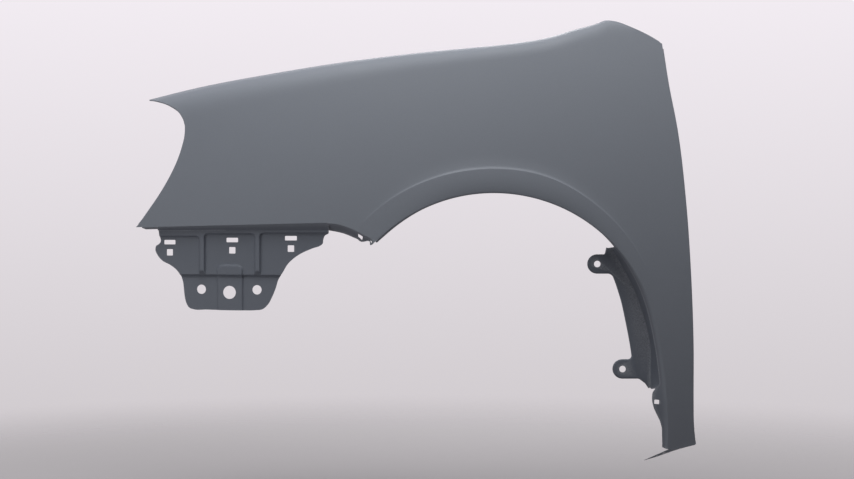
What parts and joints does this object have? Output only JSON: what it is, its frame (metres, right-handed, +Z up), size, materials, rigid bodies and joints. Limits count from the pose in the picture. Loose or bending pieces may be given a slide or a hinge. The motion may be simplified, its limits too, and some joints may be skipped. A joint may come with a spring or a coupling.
{
  "type": "car fender",
  "caption": "Left front car fender: a pressed steel skin with a flared wheel arch, folded mounting flanges, a bumper plate and a welded wheel-liner bracket.",
  "frame": {"origin": "the underside of the bonnet rail, midway between its two middle bolt pads, where the fender is bolted to the inner wing", "axes": "the car's own directions: +X toward the rear of the car, +Y inboard (the outer side faces -Y), +Z up"},
  "size_m": [1.117, 0.2561, 0.8765],
  "materials": {
    "panel_paint": "satin",
    "bracket_paint": "satin"
  },
  "bodies": {
    "root": {"fender_panel": "panel_paint", "liner_bracket": "bracket_paint"}
  },
  "joints": []
}
